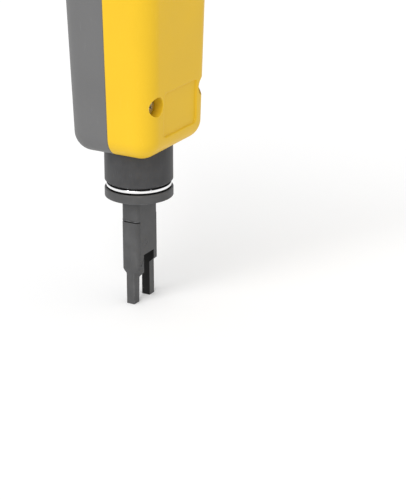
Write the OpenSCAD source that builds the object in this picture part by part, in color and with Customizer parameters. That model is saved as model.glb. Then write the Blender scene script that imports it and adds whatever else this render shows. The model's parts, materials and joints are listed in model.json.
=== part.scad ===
// Impact punch-down tool: a two-part handle, a spring-loaded nose that lifts and drops a hammer,
// and a quarter-turn blade. The tool stands on its blade: +Z runs from the tip to the butt,
// the front of the handle faces -Y, and the origin is on the axis at the blade's tip.

/* [Blade] */
// Length of the blade below its flange
blade_len = 31.3; // [28:0.1:36]
// Width of the blade's flats
blade_w = 10.7; // [9.6:0.1:11.8]
// Thickness of the blade
blade_t = 5.5; // [4.8:0.1:6.2]
// Rounding along the blade's edges
blade_edge_r = 1.1; // [0.4:0.1:1.2]
// Height of the blade's neck, above the cutter
neck_h = 6.7; // [6:0.1:7.4]
// Narrowing of the neck on each side
neck_step = 0.15; // [0:0.05:0.4]
// Thickness of the two prongs
prong_t = 2.5; // [2:0.1:3]
// Height of the far prong's shoulders
far_shoulder_h = 11.5; // [10.8:0.1:12.2]
// Height of the window's top
window_top = 14.2; // [13.8:0.1:15]
// Width of the window, and of the gap between the prongs
window_w = 5.2; // [4.6:0.1:5.6]
// Width of the far prong, and of the window's frame above it
frame_w = 2.5; // [2.1:0.1:2.9]
// Width of the cutting prong at its tip
cut_prong_w = 2.6; // [2.2:0.1:2.9]
// Height of the slit between the blade's body and the cutter's tabs, at the outside
split_h = 11.4; // [11.2:0.1:12]
// Height of the cutter's shoulders, at the window
tab_h = 9; // [8.4:0.1:9.4]
// Width of the cutter's back strip
cutter_back = 1.2; // [1:0.05:1.4]
// Travel of the cutter
cutter_travel = 0.3; // [0.2:0.05:0.6]
// Radius of the cutter's cross pin
cutter_pin_r = 0.75; // [0.6:0.05:0.9]
// Height of the cutter's cross pin
cutter_pin_h = 17.8; // [17:0.1:19]
// Step by which the blade's flange stands beyond the nose sleeve
flange_step = 0.05; // [0:0.05:0.4]
// Thickness of the blade's flange
flange_h = 2.5; // [2:0.1:3.2]

/* [Shank and chuck] */
// Diameter of the blade's shank
shank_d = 7.9; // [7:0.1:8.3]
// Length of the shank
shank_len = 21.8; // [20:0.1:22.4]
// Reach of the bayonet lugs beyond the shank
lug_reach = 1.65; // [1.2:0.05:1.8]
// Width of the bayonet lugs
lug_w = 3; // [2.4:0.1:3.4]
// Height of the bayonet lugs
lug_h = 3; // [2.4:0.1:3.4]
// Height of the lugs above the flange
lug_rise = 16.2; // [15:0.1:16.6]
// Radius of the detent ball
ball_r = 1.5; // [1.2:0.05:1.6]
// Height of the detent ball above the flange
ball_rise = 7.2; // [6:0.1:8.4]
// Depth of the chuck's socket for the drive rod
rod_socket = 10; // [8:0.5:11]
// Radius of the chuck's hub, inside the return spring
hub_r = 5.5; // [5:0.1:5.8]
// Height of the chuck's hub
hub_h = 4.4; // [3.4:0.1:4.8]

/* [Nose] */
// Diameter of the nose sleeve
sleeve_d = 19; // [18:0.1:20]
// Wall of the nose sleeve
sleeve_wall = 1.45; // [1.2:0.05:1.7]
// Length of the sleeve that shows below the handle
sleeve_show = 10.3; // [9.9:0.1:14]
// Length of the sleeve inside the handle at rest
sleeve_in = 4.2; // [3.8:0.1:6]
// Chamfer at the sleeve's lower edge
sleeve_chamfer = 0.5; // [0.2:0.1:0.9]
// Travel of the nose into the handle
stroke = 9.5; // [8:0.1:9.6]
// Height of the bright ring above the blade's flange
ring_h = 0.9; // [0.6:0.1:1.4]
// Open gap below and above the bright ring
ring_gap = 0.4; // [0.2:0.05:0.6]
// Depth of the bright ring behind the sleeve's surface
ring_inset = 0.2; // [0:0.05:0.4]
// Radius of the sleeve's pins
sleeve_pin_r = 0.9; // [0.7:0.05:1]
// Height of the sleeve's pins above the mouth of the handle
sleeve_pin_rise = 2.2; // [1.8:0.1:2.6]
// Wall of the liner in the mouth
liner_wall = 0.75; // [0.6:0.05:0.85]
// Length of the liner
liner_len = 6; // [5:0.1:7]
// Depth of the liner above the mouth's edge
liner_inset = 1.6; // [1.4:0.1:2]
// Plastic between the sleeve's chamber and the guide bush
chamber_roof = 4.2; // [4:0.1:5]
// Wall of the guide bush
bush_wall = 2.35; // [2:0.05:2.6]
// Length of the guide bush
bush_len = 7.5; // [6:0.1:9]
// Thickness of the stop clip
clip_t = 1; // [0.8:0.05:1.2]
// Reach of the stop clip beyond the chuck
clip_reach = 1.6; // [1.2:0.1:1.8]

/* [Impact mechanism] */
// Length of the return spring at rest
return_len = 14.9; // [14.6:0.1:18]
// Wire of the return spring
return_wire = 0.9; // [0.7:0.05:1.2]
// Wall of the barrel
barrel_wall = 1.4; // [1.1:0.05:1.8]
// Reach of the barrel's flange
barrel_flange = 1.6; // [1.2:0.1:1.8]
// Thickness of the barrel's web, which stops the return spring
web_t = 2; // [1.6:0.1:2.4]
// Thickness of the rubber washer under the hammer
buffer_t = 1.7; // [1.2:0.1:2.2]
// Diameter of the hammer
hammer_d = 17.1; // [16.8:0.1:17.6]
// Length of the hammer
hammer_len = 17; // [16.6:0.1:20]
// Floor of the hammer, below the trigger plate
hammer_floor = 2.5; // [2:0.1:3]
// Thickness of the trigger plate
plate_t = 2.6; // [2.2:0.1:3]
// Width of the trigger plate
plate_w = 8.4; // [7.8:0.1:8.8]
// Travel of the trigger plate
plate_travel = 3; // [2.8:0.05:3.1]
// Metal of the trigger plate behind its hole
plate_bridge = 1.7; // [1.4:0.1:2.4]
// Diameter of the drive rod
rod_d = 7.9; // [7.4:0.1:8.2]
// Diameter of the drive rod's tip
rod_tip_d = 5.2; // [4.8:0.1:5.4]
// Length of the drive rod's tip, which gives the hammer's fall
rod_tip_len = 10.15; // [9.6:0.05:10.4]
// Length of the main spring at rest
main_len = 26; // [25:0.1:32]
// Wire of the main spring
main_wire = 1.6; // [1.3:0.05:1.7]
// Mean radius of the main spring
main_r = 6.2; // [6:0.05:6.4]
// Thickness of the sliding spring seat
seat_t = 5; // [4.8:0.1:6]

/* [Force setting] */
// Radius of the cam at the low setting
cam_low_r = 7.8; // [7.4:0.1:8.4]
// Rise of the cam from low to high
cam_rise = 2.4; // [1.6:0.1:2.6]
// Turn of the dial from low to high, in degrees
dial_turn = 120; // [100:5:150]
// Width of the cam
cam_w = 8; // [6:0.5:8.5]
// Radius of the cam's shaft
shaft_r = 3; // [2.6:0.1:3.2]
// Radius of the dial
dial_r = 8.9; // [8:0.1:9.2]
// Thickness of the dial's disc
dial_t = 2.1; // [1.8:0.1:2.6]
// Height of the dial's finger bar
dial_bar_h = 2.8; // [2:0.1:3.4]
// Width of the dial's finger bar
dial_bar_w = 5; // [4:0.1:6]
// Depth of the dial's seat in the rear shell
dial_sunk = 2.8; // [2.2:0.1:3]

/* [Handle] */
// Plastic beside the nose sleeve, to the left and right
nose_side_w = 6.1; // [5.9:0.1:7.5]
// Plastic beside the nose sleeve, to the front and back
nose_side_d = 3.3; // [3.1:0.1:4.5]
// Growth of the handle's width from nose to butt
flare_w = 8; // [7.4:0.1:12]
// Growth of the handle's depth from nose to butt
flare_d = 6.3; // [5.6:0.1:9]
// Height of the butt above the dial's axis
butt_rise = 16.4; // [16:0.1:24]
// Rounding of the handle's nose end
nose_r = 5.6; // [4.6:0.1:5.8]
// Rounding of the handle's butt end
butt_r = 7; // [6:0.1:7.6]
// Width of the shallow panel on the front
panel_w = 17.2; // [14:0.1:17.6]
// Height of the shallow panel
panel_h = 12.2; // [10:0.1:13]
// Depth of the shallow panel
panel_deep = 0.5; // [0.3:0.05:0.8]
// Width of the butt pad
pad_w = 22; // [18:0.5:22]
// Depth of the butt pad
pad_d = 15; // [12:0.5:15.5]
// Corner radius of the butt pad
pad_r = 5; // [3:0.5:5.5]
// Thickness of the butt pad
pad_t = 2; // [1.6:0.1:2.6]
// Height by which the butt pad stands proud
pad_proud = 0.8; // [0.4:0.1:1.2]

/* [Screws] */
// Radius of the case screws
screw_r = 1.1; // [0.9:0.05:1.2]
// Radius of the screws' heads
head_r = 2.1; // [1.8:0.05:2.3]
// Height of the screws' heads
head_h = 1.6; // [1.2:0.1:2]
// Radius of the counterbores
counterbore_r = 2.65; // [2.4:0.05:2.9]
// Depth of the screws' heads below the front face
head_sunk = 2.6; // [2:0.1:3]
// Radius of the pivot screws' shoulders
pivot_r = 1.5; // [1.2:0.05:1.7]
// Distance by which the right lower screw stands further out than the left one
far_screw_out = 1.7; // [0:0.1:2]

/* [Fold-out tools] */
// Thickness of the hook and the spudger
tool_t = 2.4; // [2:0.1:2.8]
// Radius of their heels, round the pivot
heel_r = 2.6; // [2.3:0.05:2.8]
// Length of the hook from its pivot
hook_len = 46; // [40:0.5:47]
// Length of the spudger from its pivot
spudger_len = 43; // [38:0.5:47]
// Distance of the pivots below the butt
pivot_drop = 8; // [7:0.1:8.2]
// Width of a fold-out tool at its tip
tool_tip_w = 3.4; // [2.8:0.1:3.6]

/* [Hidden] */

// Clearances: a running fit, a fixed fit, flat faces that pass, and loose room
run_gap = 0.05;
fix_gap = 0.02;
face_gap = 0.15;
stop_gap = 0.3;
// Overlap of a cut past the face that it opens
over = 1;
// Size that is larger than the whole tool
far = 300;

// Radii from the axis outwards
shank_r = shank_d / 2;
socket_r = shank_r + run_gap;
lug_r = shank_r + lug_reach;
lug_track_r = lug_r + stop_gap;
sleeve_r = sleeve_d / 2;
flange_r = sleeve_r + flange_step;
sleeve_bore_r = sleeve_r - sleeve_wall;
chuck_r = sleeve_bore_r - run_gap;
mouth_r = sleeve_r + stop_gap;
liner_in_r = sleeve_r + run_gap;
liner_out_r = liner_in_r + liner_wall;
bush_in_r = chuck_r + run_gap;
bush_out_r = bush_in_r + bush_wall;
clip_r = chuck_r + clip_reach;
rod_r = rod_d / 2;
rod_tip_r = rod_tip_d / 2;
spring_room = 0.8;
return_r = hub_r + spring_room + return_wire / 2;
spigot_r = main_r - main_wire / 2 - spring_room;
hammer_r = hammer_d / 2;
barrel_in_r = hammer_r + run_gap;
barrel_r = barrel_in_r + barrel_wall;
barrel_flange_r = barrel_r + barrel_flange;

// Heights up the tool
z_flange = blade_len;
z_flange_top = z_flange + flange_h;
z_chuck = z_flange_top + face_gap;
z_ring = z_flange_top + ring_gap;
z_sleeve = z_ring + ring_h + ring_gap;
z_handle = z_sleeve + sleeve_show;
z_sleeve_top = z_handle + sleeve_in;
z_liner = z_handle + liner_inset;
z_chamber = z_sleeve_top + stroke + stop_gap;
z_bush = z_chamber + chamber_roof;
z_bush_top = z_bush + bush_len;
z_clip = z_bush_top + stop_gap;
clip_land = 0.8;
z_shoulder = z_clip + clip_t + clip_land;
z_hub = z_shoulder + hub_h;
z_web = z_shoulder + return_len;
z_buffer = z_web + web_t;
z_hammer = z_buffer + buffer_t + stop_gap;
z_slot = z_hammer + hammer_floor;
plate_gap = 0.2;
z_plate = z_slot + plate_gap;
z_plate_top = z_plate + plate_t;
z_hammer_top = z_hammer + hammer_len;
z_seat = z_hammer_top + main_len;
z_seat_top = z_seat + seat_t;
seat_proud = 0.5;
z_barrel_top = z_seat_top - seat_proud;
z_cam = z_seat_top + stop_gap + cam_low_r;
z_top = z_cam + butt_rise;
z_pivot = z_top - pivot_drop;
handle_len = z_top - z_handle;

// The handle's outer form
nose_w = sleeve_d + 2 * nose_side_w;
nose_d = sleeve_d + 2 * nose_side_d;
draft_w = flare_w / 2 / handle_len;
draft_d = flare_d / 2 / handle_len;
function half_w(z) = nose_w / 2 + draft_w * (z - z_handle);
function half_d(z) = nose_d / 2 + draft_d * (z - z_handle);

// Inside the handle
shell_wall = 2.3;
clip_room = 0.8;
bush_lip = 2.5;
flange_groove = barrel_flange_r + run_gap;
rib_h = 2.5;
z_rib = z_web - rib_h;
block_rise = 7.5;
z_block_top = z_web + web_t + block_rise;
cam_high_r = cam_low_r + cam_rise;
cam_side_room = 1.8;
cavity_x = cam_high_r + cam_side_room;
cam_end_room = 6.2;
cam_cavity_y = cam_w / 2 + cam_end_room;
cam_top_room = 1.2;
z_cavity_top = z_cam + cam_high_r + cam_top_room;
upper_rib_h = 5;
upper_rib_drop = 6;
z_upper_rib = z_barrel_top - upper_rib_drop - upper_rib_h;

// Screws: the lower pair beside the sleeve's chamber, the upper pair beside the barrel's flange
low_screw_wall = 0.4;
low_screw_rise = 1;
high_screw_wall = 1.2;
high_screw_rise = 6;
low_screw_x = mouth_r + low_screw_wall + screw_r;
low_screw_z = z_chamber + low_screw_rise;
high_screw_x = barrel_flange_r + high_screw_wall + screw_r;
high_screw_z = z_web + high_screw_rise;
low_screws = [[-low_screw_x, low_screw_z], [low_screw_x + far_screw_out, low_screw_z]];
screws = concat(low_screws, [[-high_screw_x, high_screw_z], [high_screw_x, high_screw_z]]);
screw_grip = 10;
cross_edge = 0.8;
cross_half = 0.25;
cross_deep = 0.8;

// Fold-out tools: each lies in a slot that straddles the parting plane
slot_side = 0.2;
slot_wall = 0.7;
slot_floor = cavity_x + slot_wall;
slot_half = tool_t / 2 + slot_side;
pivot_x = slot_floor + stop_gap + heel_r;
slot_spare = 1;
z_slot_end = z_pivot - max(hook_len, spudger_len) - slot_spare;
scoop_rise = 6;
scoop_r = 9;
scoop_half = 4.4;
scoop_deep = 2.2;

// Force dial, on the rear face
y_rear = half_d(z_cam);
y_dial = y_rear - dial_sunk + face_gap;
dial_side_room = 0.4;
dial_seat_r = dial_r + dial_side_room;
shaft_bearing = 2.6;
shaft_front = cam_cavity_y + shaft_bearing;
dial_screw_r = 1.25;
dial_head_r = 2.2;
dial_head_h = 1.2;
dial_head_sunk = 0.4;
dial_screw_y = 5;
dial_bar_inset = 0.4;

// Blade outline, in X and Z
spine_x = -blade_w / 2 + cutter_back;
z_neck = blade_len - neck_h;
window_x1 = blade_w / 2 - frame_w;
window_x0 = window_x1 - window_w;
cutter_gap = 0.1;
z_cutter_top = z_neck - cutter_travel - cutter_gap;
web_tongue = 2.6;
slot_end_x = window_x0 + web_tongue;
cut_prong_x = -blade_w / 2 + cut_prong_w;
shoulder_tilt = 42;
tab_tilt = 30;
split_lift = 0.25;
split_rise = 2;
split_turn = 1.5;
cutter_pin_x = -1.25;
cutter_pocket_in = 1.2;
cutter_pocket_x = spine_x + cutter_pocket_in;
cutter_spring_r = 0.85;
cutter_spring_wire = 0.35;
cutter_pocket_side = 0.2;
cutter_pocket_r = cutter_spring_r + cutter_spring_wire / 2 + cutter_pocket_side;
cutter_pocket_roof = 1.3;
cutter_pocket_h = neck_h - cutter_pocket_roof;

// The region below the slit, lowered by a distance: the slit turns up where it nears the window
function below_split(drop) = [[-blade_w, -over], [-blade_w, split_h - drop],
    [window_x0 - split_turn, split_h + split_lift - drop],
    [window_x0, split_h + split_rise - drop], [window_x0 + over, split_h + split_rise - drop],
    [window_x0 + over, -over]];

// ---- shared shapes ----

module bore(r, z0, z1) {
    translate([0, 0, z0]) cylinder(r = r, h = z1 - z0, $fn = 96);
}

module tube(r_out, r_in, z0, z1) {
    difference() {
        bore(r_out, z0, z1);
        bore(r_in, z0 - over, z1 + over);
    }
}

// A cylinder along Y, from y0 to y1
module rod_y(r, y0, y1) {
    translate([0, y0, 0]) rotate([-90, 0, 0]) cylinder(r = r, h = y1 - y0, $fn = 48);
}

module block(x0, x1, y0, y1, z0, z1) {
    translate([x0, y0, z0]) cube([x1 - x0, y1 - y0, z1 - z0]);
}

// A rectangle with round corners, made of straight pieces and circles
module rounded_rect(w, d, r) {
    square([w - 2 * r, d], center = true);
    square([w, d - 2 * r], center = true);
    for (sx = [-1, 1], sy = [-1, 1])
        translate([sx * (w / 2 - r), sy * (d / 2 - r)]) circle(r = r, $fn = 48);
}

// A plate in the XZ plane, with its outline given as [x, z] points, between y0 and y1
module plate_xz(points, y0, y1) {
    translate([0, y1, 0]) rotate([90, 0, 0]) linear_extrude(y1 - y0) polygon(points);
}

// Pitch of a spring's closed end turns and of its other turns when it is pressed solid, in wires
end_lift = 1.12;
solid_lift = 1.04;

// Most half turns, up to a number, that fit when a spring is pressed down to a length
function turns_in(most, wire, pressed) = min(most,
    floor(2 * (2 + (pressed - wire * (1 + 2 * end_lift)) / (wire * solid_lift))) / 2);

// A compression spring that stands on z = 0, with closed end turns
module coil(mean_r, wire, turns, length, sides = 8, steps = 24) {
    end_pitch = wire * end_lift;
    mid_pitch = (length - wire - 2 * end_pitch) / (turns - 2);
    function rise(t) = wire / 2 + end_pitch * min(t, 1) + mid_pitch * max(0, min(t, turns - 1) - 1)
        + end_pitch * max(0, t - turns + 1);
    rings = ceil(turns * steps);
    points = [for (i = [0:rings]) let (t = i * turns / rings, a = 360 * t)
        for (j = [0:sides - 1]) let (b = 360 * j / sides, r = mean_r + wire / 2 * cos(b))
            [r * cos(a), r * sin(a), rise(t) + wire / 2 * sin(b)]];
    walls = [for (i = [0:rings - 1], j = [0:sides - 1]) let (k = (j + 1) % sides)
        [i * sides + j, (i + 1) * sides + j, (i + 1) * sides + k, i * sides + k]];
    caps = [[for (j = [0:sides - 1]) j], [for (j = [sides - 1:-1:0]) rings * sides + j]];
    polyhedron(points, concat(walls, caps), convexity = 10);
}

module ball(r, sides = 32) {
    rotate_extrude($fn = sides) intersection() {
        circle(r = r, $fn = sides);
        translate([0, -r]) square([r, 2 * r]);
    }
}

// ---- handle ----

module handle_form() {
    hull() {
        for (sx = [-1, 1], sy = [-1, 1]) {
            translate([sx * (half_w(z_handle + nose_r) - nose_r),
                sy * (half_d(z_handle + nose_r) - nose_r), z_handle + nose_r]) ball(nose_r);
            translate([sx * (half_w(z_top - butt_r) - butt_r),
                sy * (half_d(z_top - butt_r) - butt_r), z_top - butt_r]) ball(butt_r);
        }
    }
}

// Everything round that the two halves clasp between them
module axial_room() {
    bore(mouth_r, z_handle - over, z_chamber);
    bore(liner_out_r + fix_gap, z_liner, z_liner + liner_len);
    bore(chuck_r + stop_gap, z_chamber - over, z_bush + over);
    bore(bush_out_r + fix_gap, z_bush, z_bush_top);
    bore(clip_r + clip_room, z_bush_top, z_web);
    bore(flange_groove, z_web, z_web + web_t + fix_gap);
    bore(barrel_r + fix_gap, z_web, z_cam);
}

module hollows() {
    wide = half_w(z_bush_top) - shell_wall;
    deep = half_d(z_bush_top) - shell_wall;
    block(-wide, wide, -deep, deep, z_bush_top + bush_lip, z_rib);
    for (z = [[z_block_top, z_upper_rib], [z_upper_rib + upper_rib_h, z_barrel_top]])
        block(-cavity_x, cavity_x, -half_d(z_block_top) + shell_wall,
            half_d(z_block_top) - shell_wall, z[0], z[1]);
    block(-cavity_x, cavity_x, -cam_cavity_y, cam_cavity_y, z_barrel_top - over, z_cavity_top);
}

module tool_slots() {
    for (s = [-1, 1]) scale([s, 1, 1]) {
        block(slot_floor, far, -slot_half, slot_half, z_slot_end, far);
        translate([half_w(z_slot_end) - scoop_deep + scoop_r, 0, z_slot_end + scoop_rise])
            rod_y(scoop_r, -scoop_half, scoop_half);
    }
}

module pad_room() {
    translate([0, 0, z_top + pad_proud - pad_t]) linear_extrude(pad_t + over)
        rounded_rect(pad_w + 2 * fix_gap, pad_d + 2 * fix_gap, pad_r);
}

module shaft_room() {
    translate([0, 0, z_cam]) rod_y(shaft_r + run_gap, -shaft_front - stop_gap, far);
}

module handle_room() {
    axial_room();
    hollows();
    tool_slots();
    pad_room();
    shaft_room();
}

module at_pivots() {
    for (s = [-1, 1]) translate([s * pivot_x, 0, z_pivot]) children();
}

// Front end of a screw's head, at the height z
function y_head(z) = -half_d(z) + head_sunk;

module screw_room(z, r) {
    rod_y(counterbore_r, -far, y_head(z) + head_h);
    rod_y(r + fix_gap, -far, screw_grip + fix_gap);
}

module all_screw_room() {
    for (p = screws) translate([p[0], 0, p[1]]) screw_room(p[1], screw_r);
    at_pivots() screw_room(z_pivot, pivot_r);
}

module front_shell() {
    color("gold") difference() {
        intersection() {
            handle_form();
            block(-far, far, -far, 0, 0, far);
        }
        handle_room();
        all_screw_room();
        translate([0, -nose_d / 2, z_handle]) rotate([atan(draft_d), 0, 0])
            block(-panel_w / 2, panel_w / 2, -over, panel_deep, nose_r, nose_r + panel_h);
    }
}

module rear_shell() {
    color("dimgray") difference() {
        intersection() {
            handle_form();
            block(-far, far, 0, far, 0, far);
        }
        handle_room();
        all_screw_room();
        translate([0, 0, z_cam]) rod_y(dial_seat_r, y_rear - dial_sunk, far);
        for (p = low_screws) translate([p[0], 0, p[1]]) rod_y(counterbore_r, -y_head(p[1]), far);
    }
}

// A cross slot for a screw's head of radius r, between y0 and y1
module cross_slot(r, y0, y1) {
    for (a = [45, 135]) rotate([0, a, 0])
        block(cross_edge - r, r - cross_edge, y0, y1, -cross_half, cross_half);
}

// A pan head with a cross slot, and a plain shank, along Y
module screw_y(z, r) {
    y0 = y_head(z);
    difference() {
        union() {
            rod_y(head_r, y0, y0 + head_h);
            rod_y(r, y0 + head_h - run_gap, screw_grip);
        }
        cross_slot(head_r, y0 - over, y0 + cross_deep);
    }
}

module case_screws() {
    color("silver") for (p = screws) translate([p[0], 0, p[1]]) screw_y(p[1], screw_r);
}

module pivot_screws() {
    color("silver") at_pivots() screw_y(z_pivot, pivot_r);
}

module butt_pad() {
    color("dimgray") translate([0, 0, z_top + pad_proud - pad_t]) linear_extrude(pad_t)
        rounded_rect(pad_w, pad_d, pad_r);
}

module nose_liner() {
    color("gray") tube(liner_out_r, liner_in_r, z_liner, z_liner + liner_len);
}

module guide_bush() {
    color("darkkhaki") tube(bush_out_r, bush_in_r, z_bush, z_bush_top);
}

// ---- impact mechanism ----

// The ramp's inner face leans in by the plate's travel over the stroke
ramp_half = 2.5;
ramp_slope = plate_travel / stroke;
plate_reach = barrel_in_r - 0.4;
ramp_gap = 0.25;
z_ramp_top = z_plate_top + stroke + 0.8;
function ramp_x(z) = plate_reach + ramp_gap - ramp_slope * (z - z_plate_top);

module barrel() {
    rod_hole_r = rod_r + face_gap;
    color("slategray") {
        difference() {
            union() {
                bore(barrel_r, z_web, z_barrel_top);
                bore(barrel_flange_r, z_web, z_web + web_t);
            }
            bore(barrel_in_r, z_web + web_t, z_barrel_top + over);
            bore(rod_hole_r, z_web - over, z_barrel_top);
        }
        intersection() {
            bore(barrel_r - 0.2, z_plate, z_ramp_top);
            plate_xz([[ramp_x(z_plate_top), z_plate_top], [ramp_x(z_ramp_top), z_ramp_top],
                [barrel_r, z_ramp_top], [barrel_r, z_plate_top]], -ramp_half, ramp_half);
        }
    }
}

module buffer_washer() {
    color("black") tube(barrel_in_r - stop_gap, rod_r + 0.6, z_buffer, z_buffer + buffer_t);
}

module return_spring() {
    color("silver") translate([0, 0, z_shoulder + fix_gap])
        coil(return_r, return_wire, turns_in(6, return_wire, return_len - stroke - 2 * fix_gap),
            return_len - 2 * fix_gap);
}

module main_spring() {
    color("silver") translate([0, 0, z_hammer_top + fix_gap])
        coil(main_r, main_wire,
            turns_in(9, main_wire, main_len - stroke - cam_rise - 2 * fix_gap),
            main_len - 2 * fix_gap);
}

plate_slot_wall = 0.65;
plate_side_x = sqrt(pow(hammer_r, 2) - pow(plate_w / 2, 2));
slot_back = plate_slot_wall - plate_side_x;
trigger_spring_r = 0.95;
trigger_spring_wire = 0.4;
plate_hole_r = rod_tip_r + stop_gap;
plate_back = plate_travel - plate_hole_r - plate_bridge;
spigot_h = 3;
rod_tip_room = 4;

module hammer() {
    groove_half = ramp_half + stop_gap;
    groove_x = ramp_x(z_ramp_top) - stop_gap;
    color("lightslategray") difference() {
        union() {
            bore(hammer_r, z_hammer, z_hammer_top);
            bore(spigot_r, z_hammer_top - over, z_hammer_top + spigot_h);
        }
        bore(plate_hole_r, z_hammer - over, z_hammer + rod_tip_len + rod_tip_room);
        block(slot_back, far, -plate_w / 2 - plate_gap, plate_w / 2 + plate_gap,
            z_slot, z_plate_top + plate_gap);
        block(groove_x, far, -groove_half, groove_half, z_hammer - over, z_hammer_top + over);
    }
}

module trigger_plate() {
    nose_half = ramp_half - plate_gap;
    wide_x = plate_side_x - plate_gap;
    color("goldenrod") difference() {
        union() {
            block(plate_back, wide_x, -plate_w / 2, plate_w / 2, z_plate, z_plate_top);
            block(wide_x - over, plate_reach, -nose_half, nose_half, z_plate, z_plate_top);
        }
        translate([plate_travel, 0, 0]) bore(plate_hole_r, z_plate - over, z_plate_top + over);
    }
}

module trigger_spring() {
    length = plate_back - slot_back - 2 * fix_gap;
    color("silver") translate([slot_back + fix_gap, 0, z_plate + plate_t / 2]) rotate([0, 90, 0])
        coil(trigger_spring_r, trigger_spring_wire,
            turns_in(5, trigger_spring_wire, length - plate_travel), length,
            sides = 6, steps = 14);
}

module spring_seat() {
    color("slategray") {
        bore(barrel_in_r - run_gap, z_seat, z_seat_top);
        bore(spigot_r, z_seat - spigot_h, z_seat + over);
    }
}

// ---- force setting ----

// The cam's outline: its radius grows evenly through the dial's turn, then falls back
module cam_outline() {
    step = 5;
    back_turn = 40;
    rest_turn = 20;
    rise_end = dial_turn + rest_turn;
    function r_at(a) = a < 0 ? cam_low_r : a < dial_turn ? cam_low_r + cam_rise * a / dial_turn
        : a < rise_end ? cam_high_r
        : a < rise_end + back_turn ? cam_high_r - cam_rise * (a - rise_end) / back_turn
        : cam_low_r;
    polygon([for (a = [-90:step:265]) [r_at(a) * sin(a), -r_at(a) * cos(a)]]);
}

module cam_shaft() {
    color("ivory") translate([0, 0, z_cam]) difference() {
        union() {
            rod_y(shaft_r, -shaft_front, y_dial + dial_t);
            translate([0, cam_w / 2, 0]) rotate([90, 0, 0]) linear_extrude(cam_w) cam_outline();
        }
        rod_y(dial_screw_r, dial_screw_y - stop_gap, far);
    }
}

module force_dial() {
    y_top = y_dial + dial_t + dial_bar_h;
    color("gold") translate([0, 0, z_cam]) difference() {
        union() {
            rod_y(dial_r, y_dial, y_dial + dial_t);
            intersection() {
                rod_y(dial_r - dial_bar_inset, y_dial, y_top);
                block(-dial_bar_w / 2, dial_bar_w / 2, y_dial, y_top, -far, far);
            }
        }
        rod_y(shaft_r + fix_gap, y_dial - over, y_dial + dial_t + fix_gap);
        rod_y(dial_screw_r + stop_gap, y_dial - over, far);
        rod_y(dial_head_r + stop_gap, y_top - dial_head_h - dial_head_sunk, far);
    }
}

module dial_screw() {
    y_head_top = y_dial + dial_t + dial_bar_h - dial_head_sunk;
    color("silver") translate([0, 0, z_cam]) difference() {
        union() {
            rod_y(dial_head_r, y_head_top - dial_head_h, y_head_top);
            rod_y(dial_screw_r - fix_gap, dial_screw_y, y_head_top - cross_deep);
        }
        cross_slot(dial_head_r, y_head_top - cross_deep, far);
    }
}

// ---- plunger ----

// Repeats its child at the two sleeve pins, on the front and the back
module at_sleeve_pins() {
    for (a = [0, 180]) rotate([0, 0, a])
        translate([0, 0, z_handle + sleeve_pin_rise]) children();
}

pin_depth = 1.6;
ball_track_r = ball_r + 0.1;
ball_in = 0.85;
ball_y = shank_r - ball_in + ball_track_r;
z_ball = z_flange_top + ball_rise;
z_lug = z_flange_top + lug_rise;
lug_room = 0.4;

module chuck() {
    entry_half = lug_w / 2 + 0.2;
    color("dimgray") difference() {
        union() {
            bore(chuck_r, z_chuck, z_shoulder);
            bore(hub_r, z_shoulder - over, z_hub);
        }
        bore(socket_r, z_chuck - over, z_flange_top + shank_len + over);
        bore(lug_track_r, z_lug - lug_room, z_lug + lug_h + lug_room);
        intersection() {
            block(-lug_track_r, lug_track_r, -entry_half, entry_half, z_chuck - over, z_lug + 1);
            bore(lug_track_r, z_chuck - over, z_lug + 1);
        }
        translate([0, 0, z_ball]) rod_y(ball_r + 0.1, 0, far);
        at_sleeve_pins() rod_y(sleeve_pin_r + fix_gap, chuck_r - pin_depth, far);
        tube(chuck_r + over, chuck_r - clip_land, z_clip - fix_gap, z_clip + clip_t + fix_gap);
        bore(rod_r + fix_gap, z_hub - rod_socket, z_hub + over);
    }
}

module nose_sleeve() {
    color("dimgray") difference() {
        rotate_extrude($fn = 96) polygon([[sleeve_bore_r, z_sleeve],
            [sleeve_r - sleeve_chamfer, z_sleeve], [sleeve_r, z_sleeve + sleeve_chamfer],
            [sleeve_r, z_sleeve_top], [sleeve_bore_r, z_sleeve_top]]);
        at_sleeve_pins() rod_y(sleeve_pin_r + fix_gap, 1, far);
    }
}

module wear_ring() {
    color("white") tube(sleeve_r - ring_inset, chuck_r + fix_gap, z_ring, z_ring + ring_h);
}

module sleeve_pins() {
    color("silver") at_sleeve_pins()
        rod_y(sleeve_pin_r, chuck_r - pin_depth + 0.1, sleeve_r - face_gap);
}

module stop_clip() {
    open_half = 3;
    color("silver") difference() {
        tube(clip_r, chuck_r - clip_land + fix_gap, z_clip, z_clip + clip_t);
        block(-open_half, open_half, -far, 0, z_clip - over, z_clip + clip_t + over);
    }
}

module drive_rod() {
    z_tip = z_plate - run_gap;
    color("silver") {
        bore(rod_r, z_hub - rod_socket + face_gap, z_tip - rod_tip_len);
        bore(rod_tip_r, z_tip - rod_tip_len - over, z_tip);
    }
}

module detent_ball() {
    color("silver") translate([0, ball_y, z_ball]) ball(ball_r, sides = 48);
}

module detent_spring() {
    wire = 0.3;
    y0 = ball_y + ball_r + fix_gap;
    color("silver") translate([0, y0, z_ball]) rotate([-90, 0, 0])
        coil(ball_r - 0.45, wire, 3.5, chuck_r - y0 - fix_gap, sides = 6, steps = 14);
}

// ---- blade ----

// The blade's section between two heights, narrowed on each side by the step
module blade_section(z0, z1, step = 0) {
    translate([0, 0, z0]) linear_extrude(z1 - z0)
        rounded_rect(blade_w - 2 * step, blade_t, blade_edge_r);
}

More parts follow.
